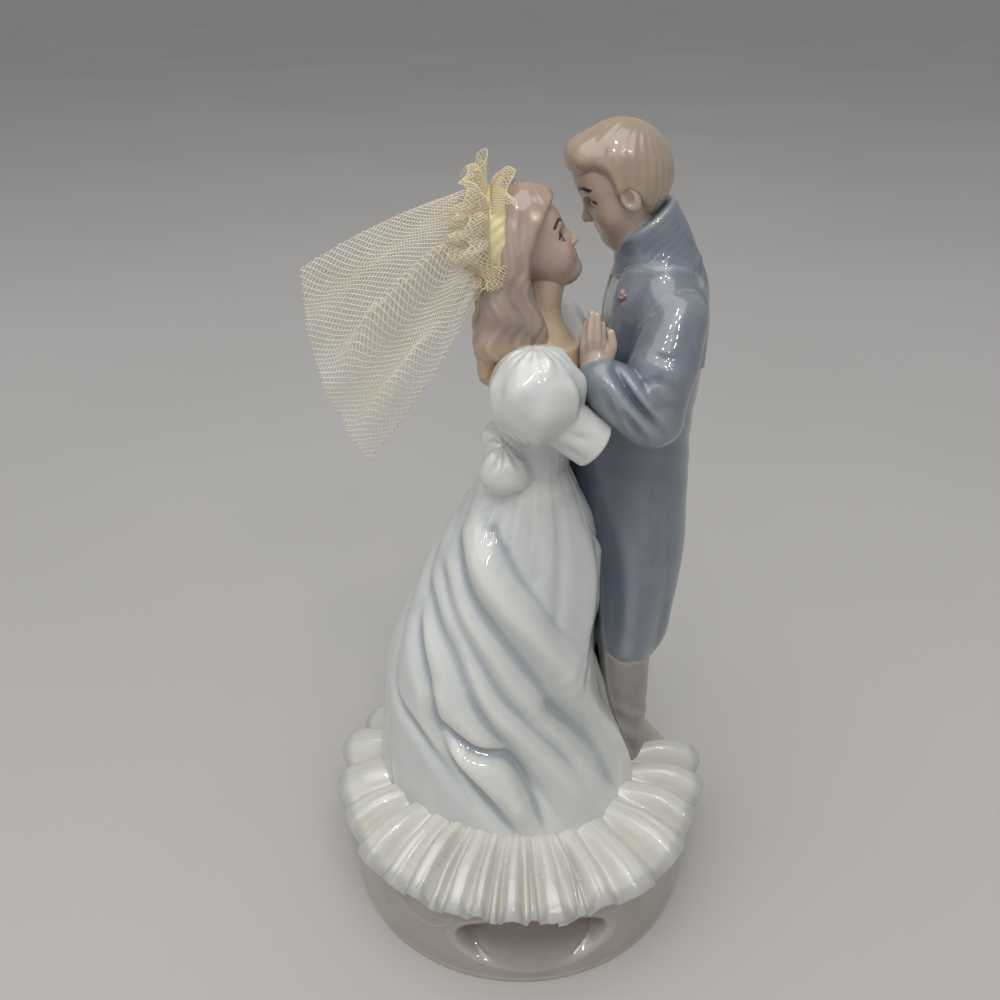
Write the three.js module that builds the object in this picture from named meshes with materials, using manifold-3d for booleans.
// Wedding cake topper: a porcelain bride and groom on a round plinth, with a net veil.
// Millimetres, +Z up. The origin is the centre of the foot. The bride faces +X, the groom faces -X.

import * as THREE from 'three';
import { mergeVertices } from 'three/addons/utils/BufferGeometryUtils.js';
import Module from 'manifold-3d';

const wasm = await Module();
wasm.setup();

// Driving sizes
const JOINT_GAP = 0.3; // seam left between two pieces
const CUT_TOLERANCE = 0.05; // how closely a cut edge is followed
const BASE_RADIUS = 48.7;
const BASE_HEIGHT = 27;
const BASE_WALL = 7;
const BASE_TOP_THICKNESS = 5;
const BASE_VENT_RADIUS = 22; // opening between the foot and the skirt
const BASE_EDGE_RADIUS = 3;
const NICHE_WIDTH = 41;
const NICHE_HEIGHT = 20;
const NICHE_DEPTH = 5;
const FLOUNCE_OVERHANG = 3.7; // how far the flounce reaches past the plinth
const FLOUNCE_THICKNESS = 2.2;
const FLOUNCE_DROP = 8; // fall from the hem to the outer edge
const FLOUNCE_PLEATS = 25;
const FLOUNCE_PLEAT_HEIGHT = 1.5; // from the middle of a pleat to its crest
const HEM_RADIUS = 36;
const SKIRT_HEIGHT = 104; // base top to waist
const SKIRT_WALL = 4.5;
const SKIRT_FOLD_DEPTH = 2.1;
const SKIRT_FOLD_WIDTHS = [34, 32, 36, 34, 36, 36, 36, 36, 30, 21, 29]; // degrees, one turn in all
const WAIST_RADIUS = 9.8;
const BODICE_HEIGHT = 32;
const PUFF_RADIUS = 10.5;
const BRIDE_HEAD_WIDTH = 16.4;
const LEG_RADIUS = 6.4;
const LEG_HEIGHT = 40; // base top to the end of the coat
const SHOULDER_STEP = 13; // the groom's shoulders above the bride's neckline
const COAT_WIDTH = 30; // across the hips
const SLEEVE_RADIUS = 7.4;
const GROOM_HEAD_WIDTH = 18.4;
const HAIR_THICKNESS = 1.6;
const BAND_WIDTH = 4;
const LACE_HEIGHT = 6;
const LACE_THICKNESS = 0.9;
const VEIL_THICKNESS = 0.7;
const VEIL_LENGTH = 40.6; // from the band to the corner, along X
const VEIL_DROP = 58.7; // from the top of the band to the lowest point
const VEIL_FOLDS = 7;

// Where the two figures stand, seen from above
const BRIDE_X = 2.4;
const BRIDE_Y = -1;
const GROOM_X = 33;
const GROOM_Y = 10;

// Heights above the base top
const waist = SKIRT_HEIGHT;
const neckline = waist + BODICE_HEIGHT;
const coatHem = LEG_HEIGHT;
const shoulder = neckline + SHOULDER_STEP;
const coatLength = shoulder - coatHem;

// Points measured from the middle of the bride's neckline and of the groom's shoulders
const bride = (x, y, z) => new THREE.Vector3(BRIDE_X + x, BRIDE_Y + y, neckline + z);
const groom = (x, y, z) => new THREE.Vector3(GROOM_X + x, GROOM_Y + y, shoulder + z);

// Solids

function signedVolume(geometry) {
  const p = geometry.getAttribute('position');
  const [a, b, c] = [new THREE.Vector3(), new THREE.Vector3(), new THREE.Vector3()];
  let sum = 0;
  for (let i = 0; i < geometry.index.count; i += 3) {
    a.fromBufferAttribute(p, geometry.index.getX(i));
    b.fromBufferAttribute(p, geometry.index.getX(i + 1));
    c.fromBufferAttribute(p, geometry.index.getX(i + 2));
    sum += a.dot(b.cross(c)) / 6;
  }
  return sum;
}

// A closed geometry as a solid whose faces look outwards
function solid(geometry) {
  geometry.deleteAttribute('normal');
  geometry.deleteAttribute('uv');
  const merged = mergeVertices(geometry, 1e-4);
  const triVerts = Uint32Array.from(merged.index.array);
  if (signedVolume(merged) < 0) {
    triVerts.reverse();
  }
  const vertProperties = Float32Array.from(merged.getAttribute('position').array);
  return new wasm.Manifold(new wasm.Mesh({ numProp: 3, vertProperties, triVerts }));
}

// A skin over rings of points, closed by a fan at each end
function loft(rings) {
  const count = rings[0].length;
  const points = rings.flat();
  const index = [];
  for (let i = 0; i + 1 < rings.length; i++) {
    for (let j = 0; j < count; j++) {
      const k = (j + 1) % count;
      const [a, b] = [i * count + j, i * count + k];
      index.push(a, b, b + count, a, b + count, a + count);
    }
  }
  const last = (rings.length - 1) * count;
  for (const [start, ring] of [[0, rings[0]], [last, rings.at(-1)]]) {
    const middle = points.length;
    points.push(ring.reduce((sum, p) => sum.add(p), new THREE.Vector3()).divideScalar(count));
    for (let j = 0; j < count; j++) {
      const k = (j + 1) % count;
      index.push(middle, start + (start ? j : k), start + (start ? k : j));
    }
  }
  const geometry = new THREE.BufferGeometry().setFromPoints(points);
  geometry.setIndex(index);
  return solid(geometry);
}

function ball(center, rx, ry, rz, grow, tilt = 0) {
  const [around, upward] = Math.max(rx, ry, rz) > 5 ? [12, 9] : [8, 7];
  const geometry = new THREE.SphereGeometry(1, around, upward);
  geometry.scale(rx + grow, ry + grow, rz + grow);
  geometry.rotateY(tilt);
  geometry.translate(center.x, center.y, center.z);
  return solid(geometry);
}

// A round limb through points, with a radius at each point; wide stretches it along Y
function limb(points, radii, grow, wide = 1, sides = 10) {
  const curve = new THREE.CatmullRomCurve3(points);
  const steps = 3 * (points.length - 1);
  const rings = [];
  for (let i = 0; i <= steps; i++) {
    const t = i / steps;
    const at = t * (radii.length - 1);
    const k = Math.min(Math.floor(at), radii.length - 2);
    const radius = THREE.MathUtils.lerp(radii[k], radii[k + 1], at - k) + grow;
    const forward = curve.getTangent(t);
    const side = new THREE.Vector3(0, 1, 0).addScaledVector(forward, -forward.y).normalize();
    const out = new THREE.Vector3().crossVectors(side, forward);
    const overrun = i === 0 ? -grow : i === steps ? grow : 0;
    const center = curve.getPoint(t).addScaledVector(forward, overrun);
    const ring = [];
    for (let j = 0; j < sides; j++) {
      const a = (2 * Math.PI * j) / sides;
      const p = center.clone().addScaledVector(out, Math.cos(a) * radius);
      ring.push(p.addScaledVector(side, Math.sin(a) * radius * wide));
    }
    rings.push(ring);
  }
  return loft(rings);
}

// Level rings of half widths rx and ry about a middle line, smoothed between the given levels.
// The columns of points stand at the given angles, turned by turn and moved out by fold at each height.
function stack(levels, grow, { rings = 12, sides = 32, angles, turn = () => 0, fold = () => 0 } = {}) {
  const columns = angles ?? Array.from({ length: sides }, (_, j) => (2 * Math.PI * j) / sides);
  const heights = levels.map((level) => level.z);
  const values = levels.flatMap((level) => [level.x, level.y, level.rx, level.ry]);
  const smooth = new THREE.CubicInterpolant(heights, values, 4);
  const [low, high] = [heights[0], heights.at(-1)];
  const skin = [];
  for (let i = 0; i <= rings; i++) {
    const z = THREE.MathUtils.lerp(low, high, i / rings);
    const [x, y, rx, ry] = Array.from(smooth.evaluate(z));
    const overrun = i === 0 ? -grow : i === rings ? grow : 0;
    const ring = [];
    for (const column of columns) {
      const a = column + turn(z);
      const out = fold(column, z) + grow;
      ring.push(new THREE.Vector3(x + (rx + out) * Math.cos(a), y + (ry + out) * Math.sin(a), z + overrun));
    }
    skin.push(ring);
  }
  return loft(skin);
}

// A slab through the figures from near to far, with its outline given in X and Z
function slab(outline) {
  const depth = 60;
  const geometry = new THREE.ExtrudeGeometry(new THREE.Shape(outline), { depth, bevelEnabled: false });
  geometry.rotateX(Math.PI / 2);
  geometry.translate(0, depth / 2, 0);
  return solid(geometry);
}

const join = (...solids) => solids.reduce((whole, part) => whole.add(part));

// Plinth

function plinth() {
  const top = BASE_HEIGHT;
  const inner = BASE_RADIUS - BASE_WALL;
  const ceiling = top - BASE_TOP_THICKNESS;
  const profile = [
    new THREE.Vector2(inner, 0),
    new THREE.Vector2(BASE_RADIUS, 0),
  ];
  for (let i = 0; i <= 4; i++) {
    const a = (i / 4) * (Math.PI / 2);
    const r = BASE_RADIUS - BASE_EDGE_RADIUS * (1 - Math.cos(a));
    profile.push(new THREE.Vector2(r, top - BASE_EDGE_RADIUS * (1 - Math.sin(a))));
  }
  profile.push(new THREE.Vector2(BASE_VENT_RADIUS, top));
  profile.push(new THREE.Vector2(BASE_VENT_RADIUS, ceiling));
  profile.push(new THREE.Vector2(inner - 4, ceiling));
  profile.push(new THREE.Vector2(inner, ceiling - 4));
  profile.push(profile[0].clone());
  const body = new THREE.LatheGeometry(profile, 36);
  body.rotateX(Math.PI / 2);
  return solid(body).subtract(niche());
}

// The blind oval niche in front: a tapered oval, as deep as its floor lies behind the wall
function niche() {
  const middle = BASE_HEIGHT - 3.5 - NICHE_HEIGHT / 2;
  const oval = (y, rx, rz, lift) => {
    const ring = [];
    for (let j = 0; j < 24; j++) {
      const a = (2 * Math.PI * j) / 24;
      ring.push(new THREE.Vector3(2.5 + rx * Math.cos(a), y, middle + lift + rz * Math.sin(a)));
    }
    return ring;
  };
  const shrink = NICHE_HEIGHT / 2 - 3;
  const wide = oval(-BASE_RADIUS - 2, NICHE_WIDTH / 2, NICHE_HEIGHT / 2, 0);
  const narrow = oval(-BASE_RADIUS + 12, NICHE_WIDTH / 2 - 3, shrink, 2);
  const floor = new THREE.CylinderGeometry(
    BASE_RADIUS - NICHE_DEPTH,
    BASE_RADIUS - NICHE_DEPTH,
    3 * BASE_HEIGHT,
    36,
  );
  floor.rotateX(Math.PI / 2);
  return loft([wide, narrow]).subtract(solid(floor));
}

// Gown

// The folds swing round the skirt on the way down: the angle in degrees of the first one, and how full the
// folds are, at shares of the height
const foldSwing = new THREE.CubicInterpolant(
  [0, 0.145, 0.354, 0.495, 0.642, 0.781, 0.884, 1],
  [352, 348.4, 337, 317.9, 290.6, 262, 233.3, 204],
  1,
);
const foldFullness = new THREE.CubicInterpolant(
  [0, 0.15, 0.35, 0.6, 0.75, 0.86, 1],
  [0.4, 0.9, 1.1, 1, 0.75, 0.4, 0],
  1,
);
const skirtTurn = (z) => THREE.MathUtils.degToRad(foldSwing.evaluate(z / SKIRT_HEIGHT)[0]);

// Four columns to a fold: from the valley over the crest, which lies past the middle
const skirtColumns = [];
const skirtCrests = new Map();
let foldStart = 0;
for (const width of SKIRT_FOLD_WIDTHS) {
  for (const phase of [0, 0.3, 0.55, 0.8]) {
    const column = THREE.MathUtils.degToRad(foldStart + phase * width);
    skirtColumns.push(column);
    skirtCrests.set(column, Math.sin(Math.PI * phase ** 1.3) ** 1.25 - 0.6);
  }
  foldStart += width;
}

// The panel in front of the first fold hangs flatter and lies back, from mid height up to the waist
function skirtFold(column, z) {
  const t = z / SKIRT_HEIGHT;
  const turn = THREE.MathUtils.radToDeg(column);
  const { smoothstep } = THREE.MathUtils;
  const panel = smoothstep(turn, 0.5, 10) * smoothstep(t, 0.42, 0.54) * (1 - smoothstep(turn, 85, 98));
  const back = 1.2 * (1 - smoothstep(t, 0.7, 0.92));
  const fold = SKIRT_FOLD_DEPTH * skirtCrests.get(column) * foldFullness.evaluate(t)[0];
  return fold * (1 - 0.9 * panel) - panel * back;
}

function skirtLevels(inset = 0) {
  const h = SKIRT_HEIGHT;
  const level = (t, x, y, rx, ry) => ({ z: t * h, x, y, rx: rx - inset, ry: ry - inset });
  return [
    level(0, -0.4, 4, HEM_RADIUS, HEM_RADIUS - 1),
    level(0.13, -2.8, 3.5, HEM_RADIUS - 2, HEM_RADIUS - 3.5),
    level(0.28, -5.4, 3, HEM_RADIUS - 4.2, HEM_RADIUS - 6),
    level(0.48, -5.8, 2, HEM_RADIUS - 7.2, HEM_RADIUS - 9),
    level(0.73, -1.3, 0, (HEM_RADIUS + WAIST_RADIUS) * 0.48, (HEM_RADIUS + WAIST_RADIUS) * 0.45),
    level(0.89, BRIDE_X - 0.9, BRIDE_Y, WAIST_RADIUS + 5.6, WAIST_RADIUS + 5),
    level(1, BRIDE_X, BRIDE_Y, WAIST_RADIUS, WAIST_RADIUS),
  ];
}

const skirtShape = { rings: 15, angles: skirtColumns, turn: skirtTurn, fold: skirtFold };
const skirtOuter = (grow) => stack(skirtLevels(), grow, skirtShape);

// The hollow of the skirt, open at the hem and closed below the waist
function skirtHollow() {
  const keep = skirtLevels(SKIRT_WALL).slice(0, 5);
  const neck = WAIST_RADIUS / 2;
  keep.push({ z: 0.86 * SKIRT_HEIGHT, x: BRIDE_X - 1, y: BRIDE_Y, rx: neck, ry: neck });
  keep[0].z = -1;
  return stack(keep, 0, { rings: 6, sides: 24 });
}

// The pleats of the flounce differ in width and height; each has a wide crest between narrow valleys
const pleatWidth = (i) => 0.55 + 0.9 * Math.abs(Math.sin(1.7 * i + 0.6));
const pleatWidths = Array.from({ length: FLOUNCE_PLEATS }, (_, i) => pleatWidth(i));
const pleatTurn = (2 * Math.PI) / pleatWidths.reduce((sum, width) => sum + width, 0);
const pleatHeight = (i) => 0.7 + 0.5 * Math.sin(2.3 * i + 0.5) ** 2;

// The pleats between two angles as a list of angles with their heights, from -1 to about 1
function pleatsBetween(from, to) {
  const wave = (i, phase) => pleatHeight(i) * (1 - 2 * Math.abs(Math.cos(Math.PI * phase ** 0.9)) ** 5);
  const inside = [];
  const all = [];
  for (const turn of [-2, -1, 0, 1, 2]) {
    let start = turn * 2 * Math.PI;
    for (let i = 0; i < FLOUNCE_PLEATS; i++) {
      const width = pleatWidths[i] * pleatTurn;
      for (const phase of [0, 0.22, 0.5, 0.78]) {
        all.push({ a: start + phase * width, height: wave(i, phase) });
      }
      start += width;
    }
  }
  const heightAt = (a) => {
    const k = all.findIndex((column) => column.a > a);
    const [low, high] = [all[k - 1], all[k]];
    return THREE.MathUtils.lerp(low.height, high.height, (a - low.a) / (high.a - low.a));
  };
  inside.push({ a: from, height: heightAt(from) });
  inside.push(...all.filter((column) => column.a > from + 0.02 && column.a < to - 0.02));
  inside.push({ a: to, height: heightAt(to) });
  return inside;
}

// A strip of the flounce: from under the hem over the plinth's edge, which it clears, and down past it
function flounce(from, to, grow) {
  const inner = HEM_RADIUS - 8;
  const edge = BASE_RADIUS - BASE_EDGE_RADIUS;
  const outer = BASE_RADIUS + FLOUNCE_OVERHANG;
  const rise = FLOUNCE_DROP - 1.6; // the hem's part above the base top
  const seam = JOINT_GAP / 2 / inner;
  const stations = [
    { r: inner, fall: -0.1, wave: 0.05 },
    { r: (inner + edge) / 2, fall: 0.02, wave: 0.5 },
    { r: edge, fall: 0.34, wave: 0.88 },
    { r: outer, fall: 1, wave: 1 },
  ];
  const rings = pleatsBetween(from + seam, to - seam).map(({ a, height }) => {
    const point = ({ r, fall, wave }, side) => {
      const reach = r + 0.9 * height * Math.max(wave - 0.4, 0) + (wave < 1 ? 0 : grow);
      const middle = rise - FLOUNCE_DROP * fall + FLOUNCE_PLEAT_HEIGHT * height * wave;
      const z = middle + side * (FLOUNCE_THICKNESS / 2 + grow);
      return new THREE.Vector3(reach * Math.cos(a), reach * Math.sin(a), z);
    };
    const under = stations.map((station) => point(station, -1));
    const over = stations.map((station) => point(station, 1)).reverse();
    return [...under, ...over];
  });
  return loft(rings);
}

function bodice(grow) {
  const h = BODICE_HEIGHT;
  const low = waist + JOINT_GAP;
  const level = (t, x, rx, ry) => ({ z: low + t * (h - JOINT_GAP), x: BRIDE_X + x, y: BRIDE_Y, rx, ry });
  return stack(
    [
      level(0, 0, WAIST_RADIUS, WAIST_RADIUS),
      level(0.25, 0.8, WAIST_RADIUS - 0.5, WAIST_RADIUS + 0.4),
      level(0.55, 2.6, WAIST_RADIUS, WAIST_RADIUS + 2),
      level(0.8, 3.8, WAIST_RADIUS + 0.2, WAIST_RADIUS + 2.8),
      level(1, 3.6, WAIST_RADIUS - 1.2, WAIST_RADIUS + 1.6),
    ],
    grow,
    { rings: 6, sides: 20 },
  );
}

const bowKnot = (grow) => ball(bride(-8.8, -4, -25), 3.2, 3.4, 3.8, grow);
const bowLoopRight = (grow) => ball(bride(-5.8, -10.5, -29.6), 6.4, 5.2, 5.4, grow, 0.1);
const bowLoopLeft = (grow) => ball(bride(-7.4, 7.4, -29), 4.8, 6, 5.4, grow, -0.2);

// Bride

const bust = (grow) => join(
  ball(bride(3, 0, -3.4), 7.6, 13.5, 7.4, grow),
  limb([bride(2.4, 0, -2), bride(3.2, 0, 8), bride(4.4, 0, 17)], [5.4, 4.3, 4.4], grow),
);

const halfBrideHead = BRIDE_HEAD_WIDTH / 2;
const brideHead = (grow) => join(
  ball(bride(2.1, 0, 22.6), halfBrideHead + 1.2, halfBrideHead, halfBrideHead + 1.5, grow),
  ball(bride(7.2, 0, 18.8), halfBrideHead - 2.8, halfBrideHead - 2.4, halfBrideHead - 2.4, grow, -0.3),
  ball(bride(10.2, 0, 22.3), 1.9, 1.1, 1.3, grow, -0.5),
);

function brideHair(grow) {
  const t = HAIR_THICKNESS;
  const h = halfBrideHead;
  const cap = ball(bride(-0.4, 0, 23.4), h + 1.4 + t, h + t, h + 1.4 + t, grow);
  const fall = limb(
    [bride(-2.4, 0, 22), bride(-4.6, 0, 9), bride(-5.4, 0, -1), bride(-3.4, 0, -8)],
    [7.6, 7.2, 6.8, 3],
    grow,
    1.3,
  );
  const lock = (side) => {
    const [root, temple] = [bride(1.4, side * h, 27), bride(-2.2, side * (h + 1), 17)];
    const [curl, tip] = [bride(0.8, side * h, 6), bride(-0.2, side * 9, -3)];
    return limb([root, temple, curl, tip], [2.8, 3.2, 2.8, 2], grow);
  };
  const face = slab([
    new THREE.Vector2(BRIDE_X + 20, neckline + 31.4),
    new THREE.Vector2(BRIDE_X + 5, neckline + 31.4),
    new THREE.Vector2(BRIDE_X + 1.7, neckline + 25),
    new THREE.Vector2(BRIDE_X + 0.2, neckline + 17),
    new THREE.Vector2(BRIDE_X + 2.6, neckline + 9),
    new THREE.Vector2(BRIDE_X + 4.6, neckline + 3),
    new THREE.Vector2(BRIDE_X + 20, neckline + 3),
  ]);
  return join(cap, fall, lock(-1), lock(1)).subtract(face);
}

// A puff sleeve: a ball gathered into soft lobes round the arm
function puff(center, grow) {
  const levels = [];
  for (let i = 0; i <= 6; i++) {
    const a = THREE.MathUtils.lerp(-0.92, 0.92, i / 6) * (Math.PI / 2);
    const r = PUFF_RADIUS * Math.cos(a) ** 0.8;
    const z = center.z + 1.06 * PUFF_RADIUS * Math.sin(a);
    levels.push({ z, x: center.x, y: center.y, rx: r, ry: 0.94 * r });
  }
  return stack(levels, grow, { rings: 6, sides: 18, fold: (a) => 0.25 * Math.cos(9 * a) });
}

const rightPuffAt = bride(1.4, -15, -8);
const leftPuffAt = bride(5, 14.5, -5.5);
const brideRightHandAt = bride(16.5, -7.5, -2.4);
const brideLeftHandAt = bride(24, 21.5, 0);

const brideRightSleeve = (grow) => limb(
  [rightPuffAt.clone().add(new THREE.Vector3(2.4, 0, -3.6)), bride(14.7, -15, -20.7)],
  [6, 5.3],
  grow,
);
const brideRightHand = (grow) => ball(brideRightHandAt, 2.4, 2.8, 4.4, grow, 0.2);
const brideLeftSleeve = (grow) => limb(
  [leftPuffAt, bride(14, 21, -8), bride(21.5, 21.7, -2.5)],
  [5, 4, 3.2],
  grow,
);
const brideLeftHand = (grow) => ball(brideLeftHandAt, 4.2, 2.4, 2.8, grow, -0.5);

// Groom

function coat(grow) {
  const half = COAT_WIDTH / 2;
  const level = (t, x, rx, ry) => ({ z: coatHem + t * coatLength, x: GROOM_X + x, y: GROOM_Y, rx, ry });
  const yoke = ball(groom(0.6, 0, -8.6), 10.6, half + 2, 9.4, grow);
  const body = stack(
    [
      level(0, -2, 7.4, half - 4),
      level(0.05, -2, 9.8, half - 1.2),
      level(0.16, -1.8, 11.2, half),
      level(0.33, -2.6, 13.8, half),
      level(0.48, -5, 16.2, half - 1.4),
      level(0.62, -5.6, 16.2, half - 2.4),
      level(0.78, -2.2, 14, half - 0.4),
      level(0.9, 0.2, 11.4, half + 1),
      level(0.96, 0, 9.8, half - 2),
      level(1, -0.2, 7.4, half - 6),
    ],
    grow,
    { rings: 12, sides: 22 },
  );
  return body.add(yoke);
}

const neckLine = [groom(-1.6, 0, -5), groom(-4, 0, 4), groom(-8.4, 0, 12)];
const halfGroomHead = GROOM_HEAD_WIDTH / 2;
const groomHead = (grow) => join(
  ball(groom(-10.2, 0, 19.8), halfGroomHead + 1.2, halfGroomHead, halfGroomHead + 1.4, grow, -0.15),
  ball(groom(-13.6, 0, 12.6), halfGroomHead - 3, halfGroomHead - 2.6, halfGroomHead - 1.6, grow, -0.5),
  ball(groom(-17.7, 0, 11), 1.7, 1.2, 2.2, grow, 0.3),
  ball(groom(-8.2, -halfGroomHead, 16), 2, 1.2, 2.8, grow),
  ball(groom(-8.2, halfGroomHead, 16), 2, 1.2, 2.8, grow),
  limb(neckLine, [6.6, 6.2, 6.2], grow),
);

function groomHair(grow) {
  const t = HAIR_THICKNESS;
  const h = halfGroomHead;
  const cap = ball(groom(-9.8, 0, 20.8), h + 1 + t, h + t, h + 1 + t, grow, -0.15);
  const quiff = ball(groom(-18.2, 0, 24.4), 4.2, h - 1.4, 3.9, grow, 0.5);
  const face = slab([
    new THREE.Vector2(GROOM_X - 34, shoulder + 21.2),
    new THREE.Vector2(GROOM_X - 20, shoulder + 21.4),
    new THREE.Vector2(GROOM_X - 16, shoulder + 22.4),
    new THREE.Vector2(GROOM_X - 12.4, shoulder + 19.2),
    new THREE.Vector2(GROOM_X - 7, shoulder + 17.6),
    new THREE.Vector2(GROOM_X - 4, shoulder + 13.4),
    new THREE.Vector2(GROOM_X + 8, shoulder + 11),
    new THREE.Vector2(GROOM_X + 8, shoulder + 4),
    new THREE.Vector2(GROOM_X - 34, shoulder + 4),
  ]);
  return join(cap, quiff).subtract(face);
}

const collar = (grow) => limb(
  [groom(0.2, 0, -3), groom(-1.4, 0, 4.4), groom(-4.2, 0, 11)],
  [10.3, 9, 8.2],
  grow,
  1,
  16,
);
const shirtFront = (grow) => ball(groom(-9.8, -0.3, -4.2), 3, 6.4, 9.6, grow, 0.3);
const boutonniere = (grow) => ball(groom(-9.6, -8.6, -4), 1.8, 1.7, 2.2, grow);

const leftShoulderAt = groom(2.6, -13, -9);
const rightShoulderAt = groom(2.6, 13, -9);
const leftCuffAt = groom(-14.6, -21.5, -19.4);
const rightCuffAt = groom(-25, 12.5, -36);

// A sleeve with a round shoulder and elbow: the upper arm, then the forearm to the cuff
function sleeve(upper, lower, thinning, grow) {
  const radii = thinning.map((less) => SLEEVE_RADIUS - less);
  const [top, , bend] = radii;
  return join(
    limb(upper, radii.slice(0, 3), grow),
    limb(lower, radii.slice(2), grow),
    ball(upper[0], top, top, top, grow),
    ball(lower[0], bend, bend, bend, grow),
  );
}

const leftElbow = groom(-3.4, -22.4, -28.2);
const rightElbow = groom(-2, 19.5, -33);
const groomLeftSleeve = (grow) => sleeve(
  [leftShoulderAt, groom(-1, -19, -18.6), leftElbow],
  [leftElbow, groom(-9.4, -23, -23.4), leftCuffAt],
  [0, -0.6, 0, 0.6, 2],
  grow,
);
const groomRightSleeve = (grow) => sleeve(
  [rightShoulderAt, groom(2.6, 18.5, -22), rightElbow],
  [rightElbow, groom(-13, 17.5, -36), rightCuffAt],
  [0, 0, 0.6, 1.4, 2.4],
  grow,
);
const groomLeftHand = (grow) => limb(
  [
    leftCuffAt.clone().add(new THREE.Vector3(-0.4, 0.4, -1)),
    groom(-15.8, -19, -12),
    groom(-15.6, -17.4, -5.4),
  ],
  [3.6, 3.8, 1.8],
  grow,
);
const groomRightHand = (grow) => limb(
  [rightCuffAt.clone().add(new THREE.Vector3(2, 0, 0)), groom(-33, 8.5, -37), groom(-38, 3.6, -38)],
  [3.4, 3.4, 1.8],
  grow,
);

const footX = HEM_RADIUS - 4.6; // the feet stand in the rim of the skirt
const leg = (side, grow) => {
  const at = (z, x) => new THREE.Vector3(x, GROOM_Y + side * (LEG_RADIUS + 0.4), z);
  const radii = [LEG_RADIUS - 0.6, LEG_RADIUS - 0.2, LEG_RADIUS + 0.6];
  const hip = GROOM_X - 3.6;
  const knee = at(LEG_HEIGHT / 2, (footX + hip) / 2 - 0.2);
  return limb([at(4.5, footX - 0.4), knee, at(LEG_HEIGHT + 8, hip)], radii, grow);
};

// A shoe: a low oval block with its toe towards the bride
const shoe = (side, grow) => {
  const y = GROOM_Y + side * (LEG_RADIUS + 0.4);
  const level = (z, x, rx, ry) => ({ z, x: footX + x, y, rx, ry });
  const [sole, rim] = [level(0, -2, 9.4, 5), level(2.4, -2, 9.8, 5.3)];
  const [instep, top] = [level(5, -1, 8, 4.8), level(7.4, -0.4, 5.4, 4)];
  return stack([sole, rim, instep, top], grow, { rings: 5, sides: 20 });
};

// Headpiece and veil: an arch over the head, from one side by way of the top to the other

const archCenter = bride(-7.2, 0, 22.8);
const archWidth = halfBrideHead + HAIR_THICKNESS - 0.9;
const archRise = halfBrideHead + HAIR_THICKNESS - 0.3;
const archFall = 20;
const ARCH_END = THREE.MathUtils.degToRad(115);

// A point of the arch at angle a from the top, out by rise and back by depth
function arch(a, rise, depth) {
  const up = Math.cos(a) > 0 ? archRise + rise : archFall;
  return new THREE.Vector3(
    archCenter.x - depth,
    archCenter.y + (archWidth + rise) * Math.sin(a),
    archCenter.z + up * Math.cos(a),
  );
}

function band(grow) {
  const rings = [];
  for (let i = 0; i <= 22; i++) {
    const a = THREE.MathUtils.lerp(-ARCH_END, ARCH_END, i / 22);
    const corner = (rise, depth) => arch(a, rise, depth);
    const half = BAND_WIDTH / 2 + grow;
    rings.push([
      corner(-1 - grow, -half),
      corner(-1 - grow, half),
      corner(1.2 + grow, half),
      corner(1.2 + grow, -half),
    ]);
  }
  return loft(rings);
}

// A strip of gathered lace standing on the band between two angles
function lace(from, to, ruffles, grow) {
  const steps = 6 * ruffles;
  const half = LACE_THICKNESS / 2 + grow;
  const foot = 1.2 + JOINT_GAP;
  const rings = [];
  for (let i = 0; i <= steps; i++) {
    const a = THREE.MathUtils.lerp(from, to, i / steps);
    const wave = Math.cos((2 * Math.PI * ruffles * i) / steps);
    const top = foot + LACE_HEIGHT * (0.86 + 0.14 * wave);
    rings.push([
      arch(a, foot - grow, 0.4 + 0.5 * wave - half),
      arch(a, foot - grow, 0.4 + 0.5 * wave + half),
      arch(a, top + grow, 0.4 + 1.1 * wave + half),
      arch(a, top + grow, 0.4 + 1.1 * wave - half),
    ]);
  }
  return loft(rings);
}

// The net hangs from the back of the band and falls in folds to both sides of a ridge
function veil(grow) {
  const depth = BAND_WIDTH / 2 + 0.7;
  const far = VEIL_LENGTH;
  const top = arch(0, 1, depth);
  const across = 4 * VEIL_FOLDS;
  const along = 6;
  const half = VEIL_THICKNESS / 2 + grow;
  const rings = [];
  for (let i = 0; i <= across; i++) {
    const a = THREE.MathUtils.lerp(-ARCH_END, ARCH_END, i / across);
    const t = Math.abs(a) / ARCH_END;
    const side = Math.sign(a);
    const root = arch(a, 1, depth);
    const low = VEIL_DROP * (0.3 + 0.7 * t);
    const end = new THREE.Vector3(top.x - far * (1 - 0.335 * t * t), top.y, top.z - low);
    end.y += side * 13 * Math.sin((t * Math.PI) / 2);
    const bend = root.clone().lerp(end, 0.45);
    bend.z += 4 * (1 - t) - 5 * t;
    bend.y += side * 3 * t;
    const fall = new THREE.QuadraticBezierCurve3(root, bend, end);
    const out = new THREE.Vector3(0, Math.sin(a), Math.cos(a));
    const fold = Math.cos(2 * Math.PI * VEIL_FOLDS * (i / across - 0.5));
    const at = (v, offset) => fall.getPoint(v).addScaledVector(out, 1.7 * fold * v + offset);
    const ring = [];
    for (let j = 0; j <= along; j++) {
      ring.push(at(j / along, half));
    }
    for (let j = along; j >= 0; j--) {
      ring.push(at(j / along, -half));
    }
    rings.push(ring);
  }
  return loft(rings);
}

// Materials

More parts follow.
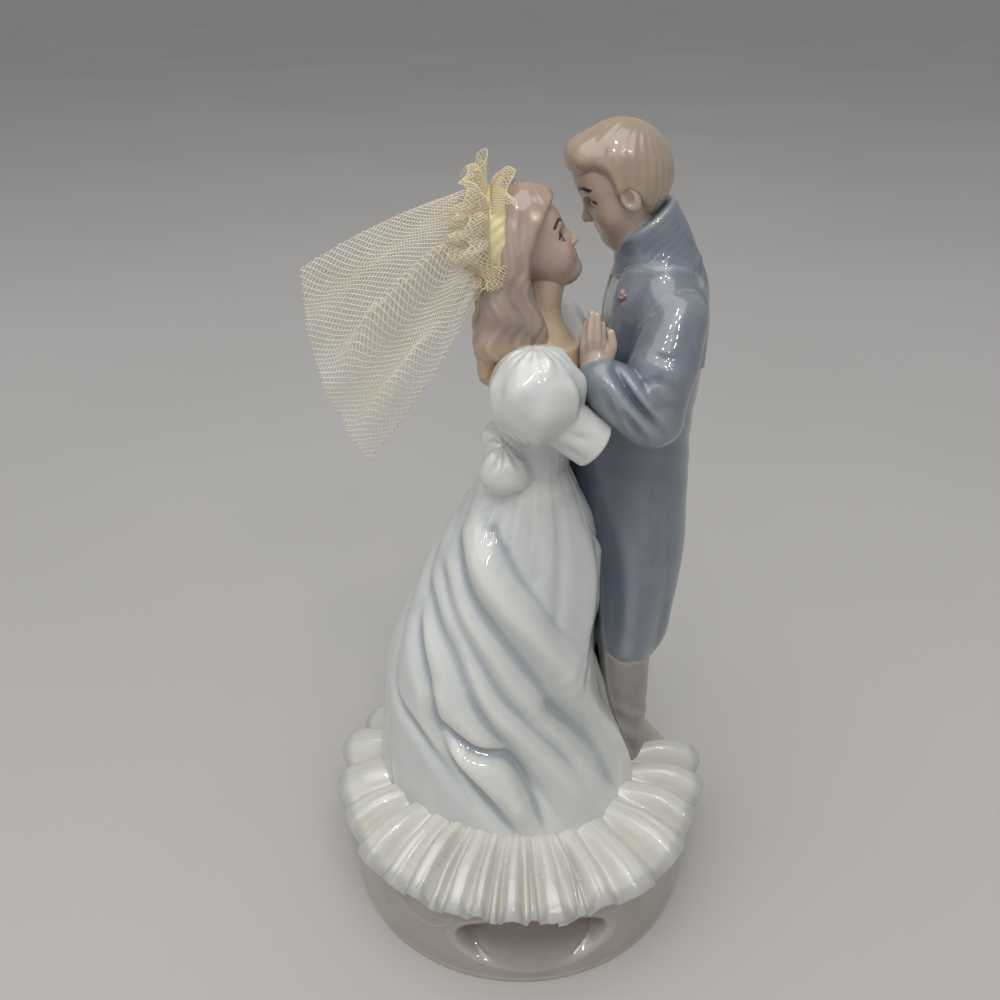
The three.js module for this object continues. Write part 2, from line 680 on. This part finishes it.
const paint = (color, roughness) => new THREE.MeshStandardMaterial({ color, roughness, metalness: 0 });
const PLINTH = [0xb9aca3, 0.12];
const WHITE = [0xdfe6e8, 0.1];
const SKIN = [0xc4aa9a, 0.12];
const BROWN_HAIR = [0xb39a8c, 0.12];
const BLOND_HAIR = [0xc8a878, 0.12];
const COAT_BLUE = [0x7d8896, 0.1];
const TROUSERS = [0x8f9296, 0.12];
const SHOE_TAN = [0xb09878, 0.15];
const PINK = [0xc98f94, 0.2];
const SATIN = [0xd9cf9a, 0.5];
const NET = [0xe9e2c8, 0.8];

// Pieces in order: each one is cut back, by the seam, from those before it

const FRONT_SEAM = THREE.MathUtils.degToRad(-80);
const RIGHT_END = THREE.MathUtils.degToRad(8); // in front of the groom's feet
const BACK_END = THREE.MathUtils.degToRad(46); // behind them

const pieces = [
  ['gown_skirt', skirtOuter, WHITE],
  ['gown_bodice', bodice, WHITE],
  ['bride_right_puff', (grow) => puff(rightPuffAt, grow), WHITE],
  ['bride_left_puff', (grow) => puff(leftPuffAt, grow), WHITE],
  ['bow_knot', bowKnot, WHITE],
  ['bow_loop_right', bowLoopRight, WHITE],
  ['bow_loop_left', bowLoopLeft, WHITE],
  ['bride_head', brideHead, SKIN],
  ['bride_bust', bust, SKIN],
  ['bride_hair', brideHair, BROWN_HAIR],
  ['groom_left_hand', groomLeftHand, SKIN],
  ['bride_right_hand', brideRightHand, SKIN],
  ['groom_left_sleeve', groomLeftSleeve, COAT_BLUE],
  ['bride_right_sleeve', brideRightSleeve, WHITE],
  ['bride_left_hand', brideLeftHand, SKIN],
  ['bride_left_sleeve', brideLeftSleeve, WHITE],
  ['groom_right_hand', groomRightHand, SKIN],
  ['groom_right_sleeve', groomRightSleeve, COAT_BLUE],
  ['groom_head', groomHead, SKIN],
  ['groom_hair', groomHair, BLOND_HAIR],
  ['groom_collar', collar, COAT_BLUE],
  ['groom_shirt_front', shirtFront, WHITE],
  ['groom_coat', coat, COAT_BLUE],
  ['groom_boutonniere', boutonniere, PINK],
  ['groom_left_shoe', (grow) => shoe(-1, grow), SHOE_TAN],
  ['groom_right_shoe', (grow) => shoe(1, grow), SHOE_TAN],
  ['groom_left_leg', (grow) => leg(-1, grow), TROUSERS],
  ['groom_right_leg', (grow) => leg(1, grow), TROUSERS],
  ['hem_flounce_right', (grow) => flounce(FRONT_SEAM, RIGHT_END, grow), WHITE],
  ['hem_flounce_left', (grow) => flounce(BACK_END, FRONT_SEAM + 2 * Math.PI, grow), WHITE],
  ['headpiece_band', band, SATIN],
  ['headpiece_lace_top', (grow) => lace(-0.95, 0.95, 5, grow), NET],
  ['headpiece_lace_right', (grow) => lace(-ARCH_END, -1, 3, grow), NET],
  ['headpiece_lace_left', (grow) => lace(1, ARCH_END, 3, grow), NET],
  ['veil', veil, NET],
];

const hollows = { gown_skirt: skirtHollow };

function meshOf(name, body, look) {
  const { vertProperties, triVerts } = body.getMesh();
  const geometry = new THREE.BufferGeometry();
  geometry.setAttribute('position', new THREE.BufferAttribute(vertProperties, 3));
  geometry.setIndex(new THREE.BufferAttribute(triVerts, 1));
  geometry.computeVertexNormals();
  const mesh = new THREE.Mesh(geometry, paint(...look));
  mesh.name = name;
  return mesh;
}

function boxesMeet(a, b) {
  return [0, 1, 2].every((k) => a.min[k] <= b.max[k] && b.min[k] <= a.max[k]);
}

// The largest of the bodies that a cut leaves, without slivers along the cut
function largest(body) {
  const bodies = body.simplify(CUT_TOLERANCE).decompose();
  return bodies.reduce((best, next) => (next.volume() > best.volume() ? next : best));
}

function assemble() {
  const couple = new THREE.Group();
  couple.position.z = BASE_HEIGHT + JOINT_GAP;
  const cutters = [];
  for (const [name, build, look] of pieces) {
    let body = build(0);
    for (const cutter of cutters) {
      if (boxesMeet(body.boundingBox(), cutter.boundingBox())) {
        body = body.subtract(cutter);
      }
    }
    cutters.push(build(JOINT_GAP));
    if (hollows[name]) {
      body = body.subtract(hollows[name]());
    }
    couple.add(meshOf(name, largest(body), look));
  }
  return couple;
}

const topper = new THREE.Group();
topper.add(meshOf('base_plinth', plinth(), PLINTH));
topper.add(assemble());

export default topper;
